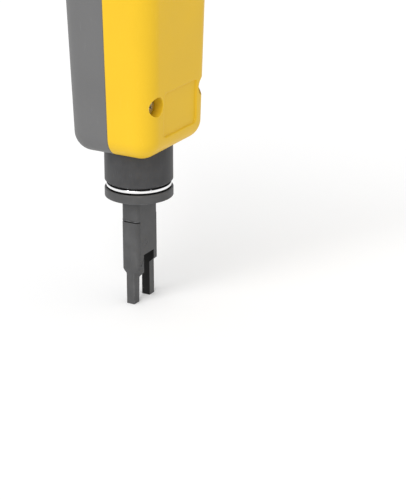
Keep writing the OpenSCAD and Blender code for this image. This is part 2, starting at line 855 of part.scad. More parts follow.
// The space in front of and behind a prong, from x0 to x1, below shoulders that slant down from
// z = 0 on the blade's faces
module shoulder_cut(x0, x1) {
    inner = prong_t / 2;
    drop = (blade_t / 2 - inner) * tan(shoulder_tilt);
    for (s = [-1, 1]) scale([1, s, 1]) translate([x0, 0, 0]) rotate([90, 0, 90])
        linear_extrude(x1 - x0) polygon([[inner, -blade_len], [inner, -drop], [blade_t / 2, 0],
            [blade_t, 0], [blade_t, -blade_len]]);
}

module blade_body() {
    flange_chamfer = 0.3;
    slot_y = prong_t / 2 + run_gap;
    color("dimgray") {
        difference() {
            union() {
                blade_section(0, z_neck + 0.2);
                blade_section(z_neck, z_flange + 0.2, neck_step);
            }
            block(-far, spine_x + run_gap, -far, far, -over, z_neck);
            block(-far, slot_end_x, -slot_y, slot_y, -over, z_neck);
            plate_xz(below_split(0), -blade_t, blade_t);
            block(window_x0, window_x1, -blade_t, blade_t, -over, window_top);
            translate([0, 0, far_shoulder_h]) shoulder_cut(0, blade_w);
            translate([cutter_pocket_x, 0, z_neck - over])
                cylinder(r = cutter_pocket_r, h = cutter_pocket_h + over, $fn = 48);
            translate([cutter_pin_x, 0, cutter_pin_h]) rod_y(cutter_pin_r + fix_gap, -far, far);
        }
        rotate_extrude($fn = 96) polygon([[0, z_flange], [flange_r, z_flange],
            [flange_r, z_flange_top - flange_chamfer], [flange_r - flange_chamfer, z_flange_top],
            [0, z_flange_top]]);
        difference() {
            union() {
                bore(shank_r, z_flange_top - 0.5, z_flange_top + shank_len);
                intersection() {
                    bore(lug_r, z_lug, z_lug + lug_h);
                    block(-lug_w / 2, lug_w / 2, -far, far, z_lug, z_lug + lug_h);
                }
            }
            rotate_extrude($fn = 96) translate([ball_y, z_ball]) circle(r = ball_track_r, $fn = 48);
        }
    }
}

module cutter() {
    web_end = slot_end_x - cutter_gap;
    slot_r = cutter_pin_r + cutter_gap;
    gap_top = window_top + cutter_travel;
    color("gray") difference() {
        intersection() {
            blade_section(0, z_cutter_top);
            union() {
                block(-far, spine_x, -far, far, 0, far);
                block(-far, web_end, -prong_t / 2, prong_t / 2, 0, far);
                plate_xz(below_split(cutter_travel + cutter_gap), -blade_t, blade_t);
            }
        }
        translate([window_x0, 0, tab_h]) rotate([0, tab_tilt, 0]) shoulder_cut(-blade_w, blade_w);
        plate_xz([[cut_prong_x, -over], [cut_prong_x, 0], [window_x0, tab_h], [window_x0, gap_top],
            [blade_w, gap_top], [blade_w, -over]], -blade_t, blade_t);
        translate([cutter_pin_x, 0, cutter_pin_h]) {
            rod_y(slot_r, -far, far);
            translate([0, 0, -cutter_travel]) rod_y(slot_r, -far, far);
            block(-slot_r, slot_r, -far, far, -cutter_travel, 0);
        }
    }
}

module cutter_pin() {
    color("silver") translate([cutter_pin_x, 0, cutter_pin_h])
        rod_y(cutter_pin_r, -blade_t / 2, blade_t / 2);
}

module cutter_spring() {
    color("silver") translate([cutter_pocket_x, 0, z_cutter_top + fix_gap])
        coil(cutter_spring_r, cutter_spring_wire, 6,
            z_neck + cutter_pocket_h - z_cutter_top - 2 * fix_gap, sides = 6, steps = 14);
}

// ---- fold-out tools ----

// A tool's blade, with its pivot at the origin and its tip down; X points away from the handle
tool_back_x = 0.6 - heel_r;
tip_straight = 3;

module tool_blank(len) {
    difference() {
        union() {
            rod_y(heel_r, -tool_t / 2, tool_t / 2);
            plate_xz([[tool_back_x, 0], [heel_r, 0], [tool_back_x + tool_tip_w, tip_straight - len],
                [tool_back_x + tool_tip_w, -len], [tool_back_x, -len]], -tool_t / 2, tool_t / 2);
        }
        rod_y(pivot_r + run_gap, -far, far);
    }
}

module hook() {
    notch_r = 1.2;
    notch_in = 0.9;
    notch_rise = 3.4;
    notch_x = tool_back_x + notch_in;
    notch_z = notch_rise - hook_len;
    color("silver") translate([pivot_x, 0, z_pivot]) difference() {
        tool_blank(hook_len);
        translate([notch_x, 0, notch_z]) rod_y(notch_r, -far, far);
        block(-far, notch_x, -far, far, notch_z - notch_r, notch_z + notch_r);
    }
}

module spudger() {
    edge_w = 1.2;
    edge_h = 9;
    edge_x = tool_back_x + tool_tip_w - edge_w;
    color("silver") translate([-pivot_x, 0, z_pivot]) scale([-1, 1, 1]) difference() {
        tool_blank(spudger_len);
        plate_xz([[-heel_r, -spudger_len - over], [edge_x, -spudger_len - over],
            [edge_x, -spudger_len], [tool_back_x, edge_h - spudger_len],
            [-heel_r, edge_h - spudger_len]], -far, far);
    }
}

front_shell();
rear_shell();
case_screws();
pivot_screws();
butt_pad();
nose_liner();
guide_bush();
barrel();
buffer_washer();
return_spring();
main_spring();
chuck();
nose_sleeve();
wear_ring();
sleeve_pins();
stop_clip();
drive_rod();
detent_ball();
detent_spring();
hammer();
trigger_plate();
trigger_spring();
force_dial();
cam_shaft();
dial_screw();
spring_seat();
blade_body();
cutter();
cutter_pin();
cutter_spring();
hook();
spudger();
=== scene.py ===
"""Impact punch-down tool, dressed for rendering. The CAD frame is loaded as it is: +Z runs from the
blade's tip to the butt, the front of the handle faces -Y, and everything is in metres."""
import json
import math
import bmesh
import bpy
from mathutils import Matrix, Vector


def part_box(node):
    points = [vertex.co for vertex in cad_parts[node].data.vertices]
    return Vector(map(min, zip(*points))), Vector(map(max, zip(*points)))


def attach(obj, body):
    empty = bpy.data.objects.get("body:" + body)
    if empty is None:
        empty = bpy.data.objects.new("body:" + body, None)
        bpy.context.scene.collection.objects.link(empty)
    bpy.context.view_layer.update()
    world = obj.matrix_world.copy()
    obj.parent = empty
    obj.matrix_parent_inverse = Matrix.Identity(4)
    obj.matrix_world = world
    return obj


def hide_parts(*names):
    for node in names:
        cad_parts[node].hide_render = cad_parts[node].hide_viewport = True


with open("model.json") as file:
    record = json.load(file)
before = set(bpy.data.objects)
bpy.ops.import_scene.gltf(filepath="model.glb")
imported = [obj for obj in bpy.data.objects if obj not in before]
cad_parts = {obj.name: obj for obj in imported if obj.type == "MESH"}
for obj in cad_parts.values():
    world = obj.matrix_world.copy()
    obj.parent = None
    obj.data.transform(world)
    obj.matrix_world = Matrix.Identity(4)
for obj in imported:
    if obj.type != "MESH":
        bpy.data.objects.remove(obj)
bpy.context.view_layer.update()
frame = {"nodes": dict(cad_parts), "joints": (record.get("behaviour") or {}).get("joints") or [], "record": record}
nodes = frame["nodes"]
joints = {j["name"]: j for j in frame["joints"]}
MM = 0.001
FAR = 0.3                               # beyond the tool on every side

# ---- sizes, taken from the frame where it gives them ----

sleeve_lo, sleeve_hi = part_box("nose_sleeve")
liner_lo, liner_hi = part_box("nose_liner")
bush_lo, bush_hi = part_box("guide_bush")
barrel_lo, barrel_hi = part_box("barrel")
shell_lo, shell_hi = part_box("front_shell")
pad_lo, pad_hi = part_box("butt_pad")
hook_lo, hook_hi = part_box("hook")
dial_lo, dial_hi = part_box("force_dial")
ring_lo, ring_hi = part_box("wear_ring")
clip_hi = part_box("stop_clip")[1]
chuck_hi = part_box("chuck")[1]
dial_screw_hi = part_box("dial_screw")[1]

SLEEVE_R = sleeve_hi.x
NOSE_Z, BUTT_Z = shell_lo.z, shell_hi.z
STROKE = joints["nose_slide"]["range_m"][1]
DIAL_Z = joints["dial_turn"]["pos_m"][2]

GAP = 0.3 * MM                          # running room round the sliding pieces
FIT = 0.02 * MM                         # room round the fixed pieces
NOSE_SIDE = (6.1 * MM, 3.3 * MM)        # plastic beside the sleeve, along X and Y
FLARE = (8.0 * MM, 6.3 * MM)            # growth of the handle from nose to butt, along X and Y
NOSE_R, BUTT_R = 5.6 * MM, 7.0 * MM     # fillets round the nose and the butt
NOSE_ROUND_Z = NOSE_Z + NOSE_R          # heights of their centres
BUTT_ROUND_Z = BUTT_Z - BUTT_R
WALL = 2.3 * MM                         # of the handle, round its open rooms
WEB = 2.0 * MM                          # thickness of the web that holds the barrel's flange
CAM_R = 10.2 * MM                       # the cam's high side
CAM_Y = 10.2 * MM                       # half of the cam's room, along Y
CAVITY_X = CAM_R + 1.8 * MM             # half of the rooms round the barrel and the cam, along X
SHAFT_R = 3.05 * MM                     # the cam shaft's bore
SHAFT_IN = 12.8 * MM                    # how far in front of the seam the shaft ends
BORE_R = 2.65 * MM                      # counterbores
SCREW_R, PIVOT_R = 1.1 * MM, 1.5 * MM   # shanks of the case screws and the pivot screws
HEAD_H, GRIP = 1.6 * MM, 10 * MM        # height of their heads, and how far behind the seam they end
DIAL_SEAT_R, DIAL_SUNK = 9.3 * MM, 2.8 * MM
DIAL_DISC = 2.1 * MM                    # thickness of the dial's disc, under its bar
PAD_R = 5 * MM                          # corners of the palm pad


# ---- mesh helpers ----

def link(name, bm, sharp=35):
    """A new object from bm, shaded smooth, with edges sharper than the angle kept crisp."""
    bmesh.ops.recalc_face_normals(bm, faces=bm.faces)
    mesh = bpy.data.meshes.new(name)
    bm.to_mesh(mesh)
    bm.free()
    mesh.polygons.foreach_set("use_smooth", [True] * len(mesh.polygons))
    mesh.set_sharp_from_angle(angle=math.radians(sharp))
    obj = bpy.data.objects.new(name, mesh)
    bpy.context.scene.collection.objects.link(obj)
    return obj


def loft(name, rings, sharp=35):
    """A closed skin through rings of as many points each, with flat ends."""
    bm = bmesh.new()
    rows = [[bm.verts.new(p) for p in ring] for ring in rings]
    n = len(rows[0])
    for low, high in zip(rows, rows[1:]):
        for i in range(n):
            bm.faces.new((low[i], low[(i + 1) % n], high[(i + 1) % n], high[i]))
    bm.faces.new(rows[0][::-1])
    bm.faces.new(rows[-1])
    return link(name, bm, sharp)


def lathe(name, profile, steps=128, centre=(0, 0, 0), turn=None, sharp=35):
    """A closed ring from a closed profile of [radius, height] points, round Z or a turned axis."""
    bm = bmesh.new()
    rows = []
    for k in range(steps):
        a = 2 * math.pi * k / steps
        rows.append([bm.verts.new((r * math.cos(a), r * math.sin(a), z)) for r, z in profile])
    n = len(profile)
    for k in range(steps):
        this, other = rows[k], rows[(k + 1) % steps]
        for i in range(n):
            j = (i + 1) % n
            if profile[i][0] < 1e-9 and profile[j][0] < 1e-9:
                continue
            bm.faces.new((this[i], other[i], other[j], this[j]))
    bmesh.ops.remove_doubles(bm, verts=bm.verts, dist=1e-7)
    place = Matrix.Translation(centre) @ (turn or Matrix.Identity(4))
    bmesh.ops.transform(bm, matrix=place, verts=bm.verts)
    return link(name, bm, sharp)


def arc(cx, cz, r, a0, a1, n):
    """Points of an arc, with angles in degrees."""
    return [(cx + r * math.cos(math.radians(a0 + (a1 - a0) * k / n)),
             cz + r * math.sin(math.radians(a0 + (a1 - a0) * k / n))) for k in range(n + 1)]


def rounded(w, d, r, z=0, steps=10, flats=(1, 1)):
    """A round-cornered rectangle at the height z, from its half widths w and d. Its flat stretches
    along X and along Y are in as many pieces as flats says."""
    corners = [[Vector((x, y, z)) for x, y in
                arc(sx * (w - r), sy * (d - r), r, 90 * q, 90 * q + 90, steps)]
               for q, (sx, sy) in enumerate(((1, 1), (-1, 1), (-1, -1), (1, -1)))]
    ring = []
    for q, (here, there) in enumerate(zip(corners, corners[1:] + corners[:1])):
        n = flats[q % 2]
        ring += here + [here[-1].lerp(there[0], t / n) for t in range(1, n)]
    return ring


def box_cutter(lo, hi):
    """A cutter that fills the box between two corners."""
    bm = bmesh.new()
    bmesh.ops.create_cube(bm, size=1)
    size, mid = Vector(hi) - Vector(lo), (Vector(hi) + Vector(lo)) / 2
    bmesh.ops.transform(bm, matrix=Matrix.Translation(mid) @ Matrix.Diagonal((*size, 1)),
                        verts=bm.verts)
    return link("cutter", bm)


ALONG_Y = Matrix.Rotation(-math.pi / 2, 4, "X")     # turns +Z into +Y


def drill(profile, centre=(0, 0, 0), turn=None, steps=96):
    """A round cutter from [radius, height] points that start and end on the axis."""
    return lathe("cutter", profile, steps, centre, turn)


def bore(r, z0, z1):
    """A plain round cutter on the tool's axis."""
    return drill([(0, z0), (r, z0), (r, z1), (0, z1)])


def carve(obj, cutters, operation="DIFFERENCE"):
    """Cuts obj with each cutter in turn, and drops the cutters."""
    for c in cutters:
        m = obj.modifiers.new("cut", "BOOLEAN")
        m.operation, m.object, m.solver = operation, c, "MANIFOLD"
        mesh = bpy.data.meshes.new_from_object(
            obj.evaluated_get(bpy.context.evaluated_depsgraph_get()))
        obj.modifiers.clear()
        old, obj.data = obj.data, mesh
        mesh.name = obj.name
        bpy.data.meshes.remove(old)
        bpy.data.meshes.remove(c.data)
    return obj


def crisp(obj, sharp=35):
    """Smooth shading with sharp edges kept, and flat faces that stay flat."""
    obj.data.polygons.foreach_set("use_smooth", [True] * len(obj.data.polygons))
    obj.data.set_sharp_from_angle(angle=math.radians(sharp))
    m = obj.modifiers.new("normals", "WEIGHTED_NORMAL")
    m.keep_sharp = True
    return obj


# ---- handle ----

def tangent(c0, c1, r0, r1):
    """Where the line that touches two circles leaves the first and meets the second."""
    dx, dz = c1[0] - c0[0], c1[1] - c0[1]
    a = math.atan2(dz, dx) - math.acos((r0 - r1) / math.hypot(dx, dz))
    return [(c[0] + r * math.cos(a), c[1] + r * math.sin(a)) for c, r in ((c0, r0), (c1, r1))]


def half_chord(r, off):
    """Half width of a circle at a distance from its centre."""
    return math.sqrt(max(0, r ** 2 - off ** 2))


def draft(k, z):
    """Half width along X (k = 0) or Y (k = 1) before the ends are rounded."""
    return SLEEVE_R + NOSE_SIDE[k] + FLARE[k] / 2 * (z - NOSE_Z) / (BUTT_Z - NOSE_Z)


def side_at(k, z):
    """Half width of the handle along X (k = 0) or Y (k = 1) at the height z."""
    nose = (draft(k, NOSE_ROUND_Z) - NOSE_R, NOSE_ROUND_Z)
    butt = (draft(k, BUTT_ROUND_Z) - BUTT_R, BUTT_ROUND_Z)
    (low_x, low_z), (high_x, high_z) = tangent(nose, butt, NOSE_R, BUTT_R)
    if z < low_z:
        return nose[0] + half_chord(NOSE_R, NOSE_ROUND_Z - z)
    if z > high_z:
        return butt[0] + half_chord(BUTT_R, z - BUTT_ROUND_Z)
    return low_x + (high_x - low_x) * (z - low_z) / (high_z - low_z)


def corner_at(z):
    """Radius of the handle's long corners at the height z."""
    if z < NOSE_ROUND_Z:
        return half_chord(NOSE_R, NOSE_ROUND_Z - z)
    if z > BUTT_ROUND_Z:
        return half_chord(BUTT_R, z - BUTT_ROUND_Z)
    return NOSE_R + (BUTT_R - NOSE_R) * (z - NOSE_ROUND_Z) / (BUTT_ROUND_Z - NOSE_ROUND_Z)


def handle_rings():
    """Sections of the handle: round-cornered rectangles, from the nose's fillet to the butt's."""
    fillet_steps, side_steps, corner_steps, flats = 16, 40, 14, (6, 6)
    smallest = 0.02 * MM
    quarter = [math.pi / 2 * k / fillet_steps for k in range(fillet_steps + 1)]
    heights = [NOSE_ROUND_Z - NOSE_R * math.cos(a) for a in quarter]
    heights += [NOSE_ROUND_Z + (BUTT_ROUND_Z - NOSE_ROUND_Z) * k / side_steps
                for k in range(1, side_steps)]
    heights += [BUTT_ROUND_Z + BUTT_R * math.sin(a) for a in quarter]
    return [rounded(side_at(0, z), side_at(1, z), max(corner_at(z), smallest), z, corner_steps, flats)
            for z in heights]


rings = handle_rings()


def seam_groove():
    """A fine V all round the line where the halves meet."""
    deep, out = 0.17 * MM, 0.4 * MM
    flank = Vector((0, deep + out, 0))
    heights = [ring[0].z for ring in rings]
    line = [(side_at(0, z), z) for z in heights] + [(-side_at(0, z), z) for z in heights[::-1]]
    bm = bmesh.new()
    rows = []
    for k, (x, z) in enumerate(line):
        (ax, az), (bx, bz) = line[k - 1], line[(k + 1) % len(line)]
        away = Vector((bz - az, 0, ax - bx)).normalized()
        spot = Vector((x, 0, z))
        rows.append([bm.verts.new(p) for p in (spot - away * deep, spot + away * out + flank,
                                               spot + away * out - flank)])
    for this, other in zip(rows, rows[1:] + rows[:1]):
        for i in range(3):
            j = (i + 1) % 3
            bm.faces.new((this[i], other[i], other[j], this[j]))
    return link("cutter", bm)


def axial_room():
    """The bores along the handle's axis, from the mouth to the dial."""
    chamber = sleeve_hi.z + STROKE + GAP
    clip_room, barrel_flange, over = 0.8 * MM, 1.6 * MM, MM
    flange_r = barrel_hi.x + FIT
    return [
        bore(SLEEVE_R + GAP, NOSE_Z - 10 * over, chamber),
        bore(liner_hi.x + FIT, liner_lo.z, liner_hi.z),
        bore(chuck_hi.x + GAP, chamber - over, bush_lo.z + over),
        bore(bush_hi.x + FIT, bush_lo.z, bush_hi.z),
        bore(clip_hi.x + clip_room, bush_hi.z - FIT, barrel_lo.z + FIT),
        bore(flange_r, barrel_lo.z, barrel_lo.z + WEB + FIT),
        bore(flange_r - barrel_flange, barrel_lo.z, DIAL_Z),
    ]


def hollows():
    """The wide rooms round the return spring, the barrel and the cam, with ribs left between."""
    bush_lip, rib, block_rise, cam_top_room = 2.5 * MM, 2.5 * MM, 7.5 * MM, 1.2 * MM
    upper_rib, upper_rib_drop = 5 * MM, 6 * MM
    wide, deep = side_at(0, bush_hi.z) - WALL, side_at(1, bush_hi.z) - WALL
    block_top = barrel_lo.z + WEB + block_rise
    belly = side_at(1, block_top) - WALL
    rib_top = barrel_hi.z - upper_rib_drop
    cam_top = DIAL_Z + CAM_R + cam_top_room
    return [
        box_cutter((-wide, -deep, bush_hi.z + bush_lip), (wide, deep, barrel_lo.z - rib)),
        box_cutter((-CAVITY_X, -belly, block_top), (CAVITY_X, belly, rib_top - upper_rib)),
        box_cutter((-CAVITY_X, -belly, rib_top), (CAVITY_X, belly, barrel_hi.z)),
        box_cutter((-CAVITY_X, -CAM_Y, barrel_hi.z - MM), (CAVITY_X, CAM_Y, cam_top)),
    ]


def dial_room():
    """The cam shaft's bore, and the round seat that the dial is sunk in, with a chamfered rim."""
    lip, end = 0.2 * MM, SHAFT_IN + GAP
    shaft = [(0, -end), (SHAFT_R, -end), (SHAFT_R, FAR), (0, FAR)]
    seat = [(0, 0), (DIAL_SEAT_R, 0), (DIAL_SEAT_R, DIAL_SUNK - lip), (DIAL_SEAT_R + lip, DIAL_SUNK),
            (DIAL_SEAT_R + FAR, DIAL_SUNK + FAR), (0, DIAL_SUNK + FAR)]
    return [drill(shaft, (0, 0, DIAL_Z), ALONG_Y),
            drill(seat, (0, side_at(1, DIAL_Z) - DIAL_SUNK, DIAL_Z), ALONG_Y)]


def tool_slots():
    """A slot for each fold-out tool, with a round-edged scoop for a fingernail near its lower end."""
    slot_wall, slot_side, slot_spare = 0.7 * MM, 0.2 * MM, MM
    scoop_r, scoop_half, scoop_deep, scoop_rise = 9 * MM, 4.4 * MM, 2.2 * MM, 6 * MM
    edge_r = 1.5 * MM
    inside, half, end = CAVITY_X + slot_wall, hook_hi.y + slot_side, hook_lo.z - slot_spare
    edge = arc(scoop_r - edge_r, scoop_half - edge_r, edge_r, 0, 90, 5)
    scoop = [(0, -scoop_half)] + [(r, -y) for r, y in edge[::-1]] + edge + [(0, scoop_half)]
    cuts = []
    for s in (-1, 1):
        near, away = sorted((s * inside, s * FAR))
        cuts.append(box_cutter((near, -half, end), (away, half, FAR)))
        x = s * (side_at(0, end) - scoop_deep + scoop_r)
        cuts.append(drill(scoop, (x, 0, end + scoop_rise), ALONG_Y))
    return cuts


def pad_room():
    """The recess for the palm pad in the butt."""
    w, d = pad_hi.x + FIT, pad_hi.y + FIT
    return [loft("cutter", [rounded(w, d, PAD_R, z) for z in (pad_lo.z, pad_hi.z + 10 * MM)])]


def screw_spots():
    """Where each screw stands: its axis in X and Z, its shank's radius and its head's front. The
    screws of a node are told apart by their side, and by heights that lie far apart."""
    apart = 20 * MM
    spots = []
    for node, r in (("case_screws", SCREW_R), ("pivot_screws", PIVOT_R)):
        boxes = {}
        for v in nodes[node].data.vertices:
            key = (v.co.x > 0, round(v.co.z / apart))
            lo, hi = boxes.get(key, (v.co.copy(), v.co.copy()))
            boxes[key] = (Vector(map(min, lo, v.co)), Vector(map(max, hi, v.co)))
        spots += [((lo.x + hi.x) / 2, (lo.z + hi.z) / 2, r, lo.y) for lo, hi in boxes.values()]
    return spots


def screw_room():
    """Counterbores and pilot holes, from the front."""
    lip, out, end = 0.12 * MM, 20 * MM, GRIP + FIT
    cuts = []
    for x, z, r, y_head in screw_spots():
        seat, face = y_head + HEAD_H, -side_at(1, z)
        cuts.append(drill([(0, face - out), (BORE_R + out, face - out), (BORE_R + lip, face),
                           (BORE_R, face + lip), (BORE_R, seat - lip), (BORE_R - lip, seat),
                           (r + FIT, seat), (r + FIT, end), (0, end)], (x, 0, z), ALONG_Y))
    return cuts


def rear_recesses():
    """Round recesses over the lower screws' ends. Their floors lie as far behind the seam as the
    screws' heads begin in front of it."""
    low, lip, out = NOSE_Z + 20 * MM, 0.15 * MM, 50 * MM
    return [drill([(0, -y_head), (BORE_R - lip, -y_head), (BORE_R, -y_head + lip), (BORE_R, out),
                   (0, out)], (x, 0, z), ALONG_Y)
            for x, z, _, y_head in screw_spots() if z < low]


def force_dots():
    """Dots that grow along an arc under the force dial."""
    ring_r, count, first, sweep = 11.2 * MM, 7, -150, 120
    small, growth, deep, lip, out = 0.3 * MM, 0.08 * MM, 0.35 * MM, 0.1 * MM, 50 * MM
    cuts = []
    for k in range(count):
        a = math.radians(first + sweep * k / (count - 1))
        x, z = ring_r * math.cos(a), DIAL_Z + ring_r * math.sin(a)
        r, bottom = small + growth * k, side_at(1, z) - deep
        cuts.append(drill([(0, bottom), (r - lip, bottom), (r, bottom + lip), (r, out), (0, out)],
                          (x, 0, z), ALONG_Y, 40))
    return cuts


def panel_cutter():
    """The shallow, soft-cornered panel on the front face, which is left bare."""
    w, h, deep, r = 8.6 * MM, 12.2 * MM, 0.5 * MM, 1.2 * MM
    shift, out = 0.6 * MM, 3 * MM
    lean = math.atan(FLARE[1] / 2 / (BUTT_Z - NOSE_Z))
    # Depth and inset of each section: the floor's rim and the outer edge are both rounded
    sections = [(deep, 0.26 * MM), (deep - 0.08 * MM, 0.08 * MM), (deep - 0.26 * MM, 0),
                (0.15 * MM, -0.02 * MM), (0.06 * MM, -0.1 * MM), (0, -0.3 * MM), (-out, -out)]
    cutter = loft("cutter", [[Vector((p.x, depth, p.y)) for p in rounded(w - i, h / 2 - i, r - i)]
                             for depth, i in sections])
    cutter.data.transform(Matrix.Translation((0, -draft(1, NOSE_Z), NOSE_Z))
                          @ Matrix.Rotation(lean, 4, "X")
                          @ Matrix.Translation((shift, 0, NOSE_R + h / 2)))
    return cutter


def handle_half(name, sign):
    """The front half (sign -1) or the rear half (sign 1) of the handle."""
    obj = loft(name, rings)
    near, away = sorted((0, sign * FAR))
    carve(obj, [box_cutter((-FAR, near, 0), (FAR, away, FAR))], "INTERSECT")
    cuts = axial_room() + hollows() + dial_room() + tool_slots() + pad_room()
    cuts += screw_room() + [seam_groove()]
    cuts += [panel_cutter()] if sign < 0 else rear_recesses() + force_dots()
    return crisp(carve(obj, cuts))


front = handle_half("handle_front", -1)
rear = handle_half("handle_rear", 1)


# ---- palm pad, ring and dial ----

def palm_pad():
    """A crowned rubber pad with grooves that follow its outline."""
    w, d, foot = pad_hi.x, pad_hi.y, 0.2 * MM
    edge, crown, edge_steps = 0.35 * MM, 0.35 * MM, 5
    pitch, groove, groove_half, step = 1.75 * MM, 0.3 * MM, 0.45 * MM, 0.125 * MM
    first_groove, plain_rim, plain_middle, smallest = 1.3 * MM, 0.8 * MM, 0.6 * MM, 0.2 * MM
    shoulder = pad_hi.z - crown - edge
    rows = [rounded(w - foot, d - foot, PAD_R, pad_lo.z), rounded(w, d, PAD_R, pad_lo.z + foot)]
    for k in range(edge_steps + 1):
        a = math.pi / 2 * k / edge_steps
        i = edge * (1 - math.cos(a))
        rows.append(rounded(w - i, d - i, PAD_R - i, shoulder + edge * math.sin(a)))
    i = edge
    while i < d - plain_middle:
        i += step
        rise = crown * (1 - (1 - i / d) ** 2)
        phase = (i - first_groove) / pitch
        near = abs(phase - round(phase)) * pitch
        dip = groove * max(0, 1 - (near / groove_half) ** 2) if i > plain_rim else 0
        rows.append(rounded(w - i, d - i, max(PAD_R - i, smallest), shoulder + edge + rise - dip))
    return loft("palm_pad", rows, 60)


def wear_ring():
    """The bright ring between the sleeve and the blade, with rounded edges and four small notches."""
    inner, outer = chuck_hi.x + FIT, SLEEVE_R - 0.45 * MM
    half, r, drop = 0.4 * MM, 0.14 * MM, 0.06 * MM
    notch_r, notch_in = 0.22 * MM, 0.5 * MM
    mid = (ring_lo.z + ring_hi.z) / 2 - drop
    profile = [(inner, mid - half)] + arc(outer - r, mid - half + r, r, -90, 0, 4)
    profile += arc(outer - r, mid + half - r, r, 0, 90, 4) + [(inner, mid + half)]
    obj = lathe("bright_ring", profile, 160)
    notch = [(0, outer - notch_in), (notch_r, outer - notch_in), (notch_r, outer + MM), (0, outer + MM)]
    notches = []
    for a in (11, 53, 191, 233):
        turn = Matrix.Rotation(math.radians(a), 4, "Z") @ Matrix.Rotation(math.pi / 2, 4, "Y")
        notches.append(drill(notch, (0, 0, mid + half), turn, 24))
    return crisp(carve(obj, notches))


def dial_disc():
    """The dial's fluted disc."""
    y0, y1, r = dial_lo.y, dial_lo.y + DIAL_DISC, dial_hi.x
    flutes, flute_deep, points_each = 30, 0.3 * MM, 8
    rows = []
    # Place of each section, how far it is cut back in mm, and its share of the flutes' depth
    for y, cut, share in ((y0, 0.25, 1), (y0 + 0.25 * MM, 0, 1), (y1 - 0.4 * MM, 0, 1),
                          (y1 - 0.12 * MM, 0.1, 0.9), (y1, 0.4, 0.5)):
        row = []
        for k in range(flutes * points_each):
            a = 2 * math.pi * k / (flutes * points_each)
            wave = 0.5 - 0.5 * math.cos(flutes * a)
            q = r - cut * MM - share * flute_deep * wave ** 1.5
            row.append(Vector((q * math.cos(a), y, DIAL_Z + q * math.sin(a))))
        rows.append(row)
    return loft("dial_knob", rows, 40)


def dial_bar(long, wide):
    """The grip bar across the dial, from its half length and half width. It swells round the screw."""
    end_inset, corner_r, swell, swell_reach = 0.25 * MM, 1.9 * MM, 0.36, 0.55 * long
    y0, y1 = dial_lo.y + DIAL_DISC, dial_hi.y
    rows = []
    # Place of each section, and how far its outline grows in mm
    for y, grow in ((dial_lo.y + MM, 0.25), (y0, 0.25), (y0 + 0.3 * MM, 0.02),
                    (y1 - 0.6 * MM, -0.1), (y1 - 0.18 * MM, -0.2), (y1, -0.5)):
        outline = rounded(wide + grow * MM, long + grow * MM - end_inset, corner_r, flats=(1, 16))
        row = []
        for p in outline:
            fat = 1 + swell * math.cos(math.pi / 2 * min(1, abs(p.y) / swell_reach)) ** 2
            row.append(Vector((p.x * fat, y, DIAL_Z + p.y)))
        rows.append(row)
    return loft("cutter", rows)


def force_dial():
    """The dial: a fluted disc with a grip bar, bored for its shaft and screw, and a mark on the bar."""
    y0, y1, long = dial_lo.y, dial_hi.y, dial_hi.x - 0.5 * MM
    obj = carve(dial_disc(), [dial_bar(long, 2.5 * MM)], "UNION")
    shaft_r, hole_r, head_r = 3.02 * MM, 1.3 * MM, dial_screw_hi.x + 0.1 * MM
    head_deep, lip = 1.6 * MM, 0.15 * MM
    step, seat = y0 + DIAL_DISC, y1 - head_deep
    room = [(0, y0 - MM), (shaft_r, y0 - MM), (shaft_r, step), (hole_r, step), (hole_r, seat),
            (head_r, seat), (head_r, y1 - lip), (head_r + lip, y1), (head_r + MM, y1 + MM - lip),
            (0, y1 + MM - lip)]
    mark_half, mark_deep, mark_end, mark_start = 0.3 * MM, 0.35 * MM, 0.8 * MM, 0.7 * MM
    mark = box_cutter((-mark_half, y1 - mark_deep, DIAL_Z - long + mark_end),
                      (mark_half, y1 + MM, DIAL_Z - head_r - mark_start))
    return crisp(carve(obj, [drill(room, (0, 0, DIAL_Z), ALONG_Y), mark]))


pad, ring, dial = palm_pad(), wear_ring(), force_dial()
dressed = ((pad, "butt_pad", "handle", "grip_rubber"),
           (ring, "wear_ring", "plunger", "bright_steel"),
           (dial, "force_dial", "dial", "yellow_plastic"),
           (front, "front_shell", "handle", "yellow_plastic"),
           (rear, "rear_shell", "handle", "gray_plastic"))
for piece, node, body, slot in dressed:
    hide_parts(node)
    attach(piece, body)


def soften(name, width):
    """Rounds the edges of a CAD node a little, as its making leaves them."""
    weld, flat_angle, edge_angle = 0.002 * MM, math.radians(0.4), math.radians(32)
    obj = nodes[name]
    obj.modifiers.new("join", "WELD").merge_threshold = weld
    flat = obj.modifiers.new("flats", "DECIMATE")
    flat.decimate_type, flat.angle_limit = "DISSOLVE", flat_angle
    bevel = obj.modifiers.new("edges", "BEVEL")
    bevel.width, bevel.segments = width, 2
    bevel.limit_method, bevel.angle_limit = "ANGLE", edge_angle
    obj.modifiers.new("normals", "WEIGHTED_NORMAL").keep_sharp = True


for name, width in (("blade_body", 0.14), ("cutter", 0.1), ("cutter_pin", 0.12), ("chuck", 0.12),
                    ("nose_sleeve", 0.22), ("nose_liner", 0.1), ("case_screws", 0.1),
                    ("pivot_screws", 0.1), ("dial_screw", 0.1), ("hook", 0.18),
                    ("spudger", 0.18)):
    soften(name, width * MM)


# ---- materials ----

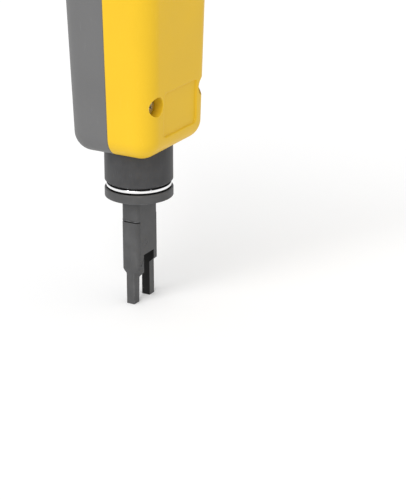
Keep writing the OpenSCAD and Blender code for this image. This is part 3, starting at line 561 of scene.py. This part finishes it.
class Look:
    """A material in the making: its Principled shader, and short ways to add nodes to it."""

    def __init__(self, name, metal=0.0, specular=0.5):
        self.mat = bpy.data.materials.new(name)
        self.mat.use_nodes = True
        self.tree = self.mat.node_tree
        self.bsdf = self.tree.nodes["Principled BSDF"]
        self.bsdf.inputs["Metallic"].default_value = metal
        self.bsdf.inputs["Specular IOR Level"].default_value = specular
        self.where = self.add("ShaderNodeTexCoord").outputs["Object"]

    def add(self, kind, **inputs):
        """A node of a kind, with its inputs set or linked by name."""
        node = self.tree.nodes.new(kind)
        for key, value in inputs.items():
            self.feed(node.inputs[key.replace("_", " ")], value)
        return node

    def feed(self, socket, value):
        """Links a socket to another, or sets it to a plain value."""
        if isinstance(value, bpy.types.NodeSocket):
            self.tree.links.new(value, socket)
        else:
            socket.default_value = value

    def noise(self, size, detail=2.0, stretch=(1, 1, 1)):
        """Noise about 0.5, with features size metres across, or longer along an axis."""
        place = self.add("ShaderNodeMapping", Vector=self.where,
                         Scale=[1 / (size * s) for s in stretch])
        return self.add("ShaderNodeTexNoise", Vector=place.outputs["Vector"], Scale=1.0,
                        Detail=detail).outputs["Fac"]

    def span(self, value, lo, hi, to_lo, to_hi):
        return self.add("ShaderNodeMapRange", Value=value, From_Min=lo, From_Max=hi,
                        To_Min=to_lo, To_Max=to_hi).outputs["Result"]

    def math(self, operation, a, b):
        node = self.tree.nodes.new("ShaderNodeMath")
        node.operation = operation
        self.feed(node.inputs[0], a)
        self.feed(node.inputs[1], b)
        return node.outputs[0]

    def mix(self, factor, a, b):
        node = self.tree.nodes.new("ShaderNodeMix")
        node.data_type = "RGBA"
        for socket, value in zip([node.inputs[0], node.inputs[6], node.inputs[7]], (factor, a, b)):
            self.feed(socket, value)
        return node.outputs[2]

    def edges(self, width):
        """0 on the flats, rising to 1 on the edges."""
        start, full = 0.985, 0.86       # cosines of the angle that the rounded normal turns by
        rounded_off = self.add("ShaderNodeBevel", Radius=width)
        rounded_off.samples = 4
        dot = self.tree.nodes.new("ShaderNodeVectorMath")
        dot.operation = "DOT_PRODUCT"
        self.feed(dot.inputs[0], rounded_off.outputs["Normal"])
        self.feed(dot.inputs[1], self.add("ShaderNodeNewGeometry").outputs["Normal"])
        return self.span(dot.outputs["Value"], start, full, 0, 1)

    def scuffs(self, size, length, keep):
        """Thin broken streaks along Z, 1 on the streak."""
        line = self.noise(size, 3.0, (1, 1, length / size))
        patch = self.noise(9 * MM, 1.0)
        return self.math("MULTIPLY", self.span(line, keep, keep + 0.06, 0, 1),
                         self.span(patch, 0.5, 0.66, 0, 1))

    def finish(self, colour, roughness, height=None, bump=0.2, deep=0.02 * MM):
        """The finished material, with bumps where a height is given."""
        self.feed(self.bsdf.inputs["Base Color"], colour)
        self.feed(self.bsdf.inputs["Roughness"], roughness)
        if height is not None:
            node = self.add("ShaderNodeBump", Strength=bump, Distance=deep, Height=height)
            self.feed(self.bsdf.inputs["Normal"], node.outputs["Normal"])
        return self.mat


def tint(colour, k):
    """A colour k times as bright, with an alpha of 1."""
    return tuple(min(1, c * k) for c in colour) + (1,)


def plastic(name, colour, rough, specular, worn):
    """Satin moulded plastic: spark-eroded grain, faint clouding, rubbed edges, light scuffs."""
    look = Look(name, specular=specular)
    cloud, grain = look.noise(size=17 * MM, detail=2.0), look.noise(size=0.3 * MM, detail=3.0)
    edge = look.edges(width=0.3 * MM)
    scuff = look.scuffs(size=0.22 * MM, length=6 * MM, keep=0.64)
    tone = look.mix(look.span(cloud, 0.3, 0.7, 0, 1), tint(colour, 0.965), tint(colour, 1.02))
    tone = look.mix(look.span(grain, 0.35, 0.75, 0, 0.12), tone, tint(colour, 0.86))
    uneven = look.span(look.noise(size=2.4 * MM, detail=3.0), 0.4, 0.65, 0.12, 0.5)
    rub = look.math("MULTIPLY", edge, uneven)
    tone = look.mix(look.math("MAXIMUM", rub, look.math("MULTIPLY", scuff, 0.18)), tone,
                    (*worn, 1))
    gloss = look.span(cloud, 0.3, 0.7, rough - 0.03, rough + 0.04)
    gloss = look.math("SUBTRACT", gloss, look.math("MULTIPLY", edge, 0.09))
    gloss = look.math("ADD", gloss, look.math("MULTIPLY", scuff, 0.1))
    height = look.math("ADD", grain, look.math("MULTIPLY", scuff, -0.5))
    return look.finish(tone, gloss, height, bump=0.16, deep=0.02 * MM)


def rubber(name, colour):
    """Moulded elastomer: pebbled skin, a dusty bloom, and edges rubbed paler."""
    look = Look(name, specular=0.3)
    cloud, pebble = look.noise(size=6 * MM, detail=4.0), look.noise(size=0.35 * MM, detail=2.0)
    edge = look.edges(width=0.3 * MM)
    tone = look.mix(look.span(cloud, 0.35, 0.7, 0, 1), tint(colour, 0.85), tint(colour, 1.25))
    tone = look.mix(look.math("MULTIPLY", edge, 0.4), tone, tint(colour, 1.9))
    return look.finish(tone, look.span(pebble, 0.3, 0.7, 0.62, 0.8), pebble, bump=0.5, deep=0.04 * MM)


def black_steel(name, colour, painted_shade=None):
    """Blackened tool steel: fine grinding lines, blotches in the oxide, edges worn to bare metal.
    The optional last argument is given the three coordinates, and gives 1 where shade is painted in, darkening the
    oxide's colour to near black."""
    look = Look(name, metal=0.15, specular=0.15)
    blotch, speck = look.noise(size=4.5 * MM, detail=4.0), look.noise(size=0.5 * MM, detail=3.0)
    lines = look.noise(size=0.09 * MM, detail=2.0, stretch=(1, 1, 40))
    edge = look.edges(width=0.16 * MM)
    scuff = look.scuffs(size=0.12 * MM, length=3.5 * MM, keep=0.65)
    tone = look.mix(look.span(blotch, 0.32, 0.68, 0, 1), tint(colour, 0.84), tint(colour, 1.14))
    tone = look.mix(look.span(lines, 0.35, 0.75, 0, 0.3), tone, tint(colour, 1.35))
    tone = look.mix(look.span(speck, 0.62, 0.74, 0, 0.25), tone, tint(colour, 0.6))
    uneven = look.span(look.noise(size=1.3 * MM, detail=4.0), 0.38, 0.66, 0.05, 0.75)
    worn = look.math("MULTIPLY", edge, uneven)
    worn = look.math("MAXIMUM", worn, look.math("MULTIPLY", scuff, 0.25))
    tone = look.mix(worn, tone, (0.3, 0.3, 0.31, 1))
    gloss = look.span(blotch, 0.3, 0.7, 0.42, 0.54)
    gloss = look.math("SUBTRACT", gloss, look.math("MULTIPLY", worn, 0.12))
    if painted_shade:
        axes = look.add("ShaderNodeSeparateXYZ", Vector=look.where)
        # Painted shade: where the mask gives 1, the colour drops to a sixth of its tone, standing in for shadow.
        tone = look.mix(painted_shade(look, *axes.outputs), tone, tint(colour, 0.16))
    return look.finish(tone, gloss, look.math("ADD", lines, look.math("MULTIPLY", speck, 0.5)),
                       bump=0.12, deep=0.01 * MM)


def bare_metal(name, colour, rough, dull, stretch):
    """Plated or ground metal: drawn or turned lines, tarnish in patches, and brighter edges."""
    look = Look(name, metal=1.0)
    patch = look.noise(size=3.5 * MM, detail=4.0)
    lines = look.noise(size=0.07 * MM, detail=2.0, stretch=stretch)
    edge = look.edges(width=0.15 * MM)
    tone = look.mix(look.span(patch, 0.35, 0.7, 0, dull), tint(colour, 1), tint(colour, 0.62))
    tone = look.mix(look.span(lines, 0.3, 0.75, 0, 0.22), tone, tint(colour, 0.78))
    tone = look.mix(look.math("MULTIPLY", edge, 0.5), tone, tint(colour, 1.15))
    gloss = look.span(patch, 0.3, 0.7, rough - 0.04, rough + 0.07)
    gloss = look.math("ADD", gloss, look.span(lines, 0.3, 0.7, -0.03, 0.04))
    return look.finish(tone, gloss, lines, bump=0.1, deep=0.008 * MM)


def between(look, value, lo, hi):
    """1 where the value lies between lo and hi, and 0 elsewhere."""
    return look.math("MULTIPLY", look.math("GREATER_THAN", value, lo),
                     look.math("LESS_THAN", value, hi))


def blade_painted_shade(look, x, y, z):
    """Painted shade: 1 on the walls of the gap between the prongs, and on the flange's top face with what is above
    it, which are darkened as if in shadow.
    """
    gap_x, gap_top, flange_drop = (-2.42 * MM, 2.92 * MM), 14.26 * MM, 0.42 * MM
    gap = look.math("MULTIPLY", between(look, x, *gap_x), look.math("LESS_THAN", z, gap_top))
    return look.math("MAXIMUM", gap, look.math("GREATER_THAN", z, ring_lo.z - flange_drop))


def sleeve_painted_shade(look, x, y, z):
    """Painted shade: 1 on the sleeve's lower face, above the ring, which is darkened as if in shadow."""
    return look.math("LESS_THAN", z, sleeve_lo.z + 0.03 * MM)


looks = {
    "yellow_plastic": plastic("yellow_plastic", (0.77, 0.48, 0.018), rough=0.42, specular=0.2,
                              worn=(0.86, 0.62, 0.1)),
    "gray_plastic": plastic("gray_plastic", (0.143, 0.143, 0.144), rough=0.46, specular=0.22,
                            worn=(0.26, 0.26, 0.265)),
    "grip_rubber": rubber("grip_rubber", (0.03, 0.03, 0.032)),
    # dark_steel carries painted shade on the blade: the gap between the prongs and the flange's top are darkened
    # as if shadowed.
    "dark_steel": black_steel("dark_steel", (0.083, 0.083, 0.084), blade_painted_shade),
    # sleeve_steel carries painted shade on the sleeve's lower face, above the ring.
    "sleeve_steel": black_steel("sleeve_steel", (0.06, 0.06, 0.062), sleeve_painted_shade),
    # Near-black steel for the chuck: painted shade for the gap between the sleeve and the flange, where the chuck
    # shows.
    "painted_shade_steel": black_steel("painted_shade_steel", (0.012, 0.012, 0.013)),
    "bright_steel": bare_metal("bright_steel", (0.93, 0.93, 0.94), rough=0.12, dull=0.12,
                               stretch=(30, 30, 1)),
    "steel": bare_metal("steel", (0.62, 0.62, 0.63), rough=0.3, dull=0.4, stretch=(1, 1, 30)),
    "bronze": bare_metal("bronze", (0.5, 0.31, 0.12), rough=0.42, dull=0.5, stretch=(30, 30, 1)),
    "cam_plastic": plastic("cam_plastic", (0.72, 0.71, 0.66), rough=0.4, specular=0.4,
                           worn=(0.8, 0.79, 0.75)),
}
slot_of = {s["node"]: s["material_slot"] for s in frame["record"]["subparts"]}
# The chuck's near-black steel is painted shade in the gap round it.
own_look = {"nose_sleeve": "sleeve_steel", "chuck": "painted_shade_steel"}
for name, obj in nodes.items():
    obj.data.materials.clear()
    obj.data.materials.append(looks[own_look.get(name, slot_of[name])])
for piece, _, _, slot in dressed:
    piece.data.materials.clear()
    piece.data.materials.append(looks[slot])

# ---- floor, light and camera ----

FLOOR_SIZE = 16                         # so wide that a low view doesn't look past it
bm = bmesh.new()
bmesh.ops.create_grid(bm, x_segments=8, y_segments=8, size=FLOOR_SIZE)
floor = link("floor", bm)
paint = Look("floor_white", specular=0.0)
speckle = paint.noise(0.3, 2.0)
floor.data.materials.append(paint.finish(
    paint.mix(speckle, (0.95, 0.95, 0.95, 1), (0.97, 0.97, 0.97, 1)),
    paint.span(speckle, 0.3, 0.7, 0.88, 0.95)))

SKY_STRENGTH, SUN_STRENGTH, SUN_WIDTH = 0.735, 1.83, math.radians(50)
SUN_PATH = Vector((0.77, -0.02, -0.64))     # the way that the light goes
world = bpy.data.worlds.new("studio")
bpy.context.scene.world = world
world.use_nodes = True
sky = world.node_tree.nodes["Background"]
sky.inputs["Color"].default_value = (1, 1, 1, 1)
sky.inputs["Strength"].default_value = SKY_STRENGTH

sun = bpy.data.lights.new("key", "SUN")
sun.energy, sun.angle = SUN_STRENGTH, SUN_WIDTH
key = bpy.data.objects.new("key", sun)
bpy.context.scene.collection.objects.link(key)
key.rotation_euler = SUN_PATH.to_track_quat("-Z", "Y").to_euler()

# The photograph's camera, worked out from the handle's edges and the round nose
CAMERA_AT, LENS, SENSOR = (-0.37735, -0.23338, 0.18690), 121.9, 36
AZIMUTH, ELEVATION = math.radians(-60.55), math.radians(21.26)
cam_data = bpy.data.cameras.new("camera")
camera = bpy.data.objects.new("camera", cam_data)
bpy.context.scene.collection.objects.link(camera)
bpy.context.scene.camera = camera
cam_data.sensor_width = SENSOR
cam_data.lens = LENS
camera.location = CAMERA_AT
back = Vector((math.sin(AZIMUTH) * math.cos(ELEVATION), -math.cos(AZIMUTH) * math.cos(ELEVATION),
               math.sin(ELEVATION)))
camera.rotation_euler = (-back).to_track_quat("-Z", "Y").to_euler()
bpy.context.scene.view_settings.view_transform = "Standard"
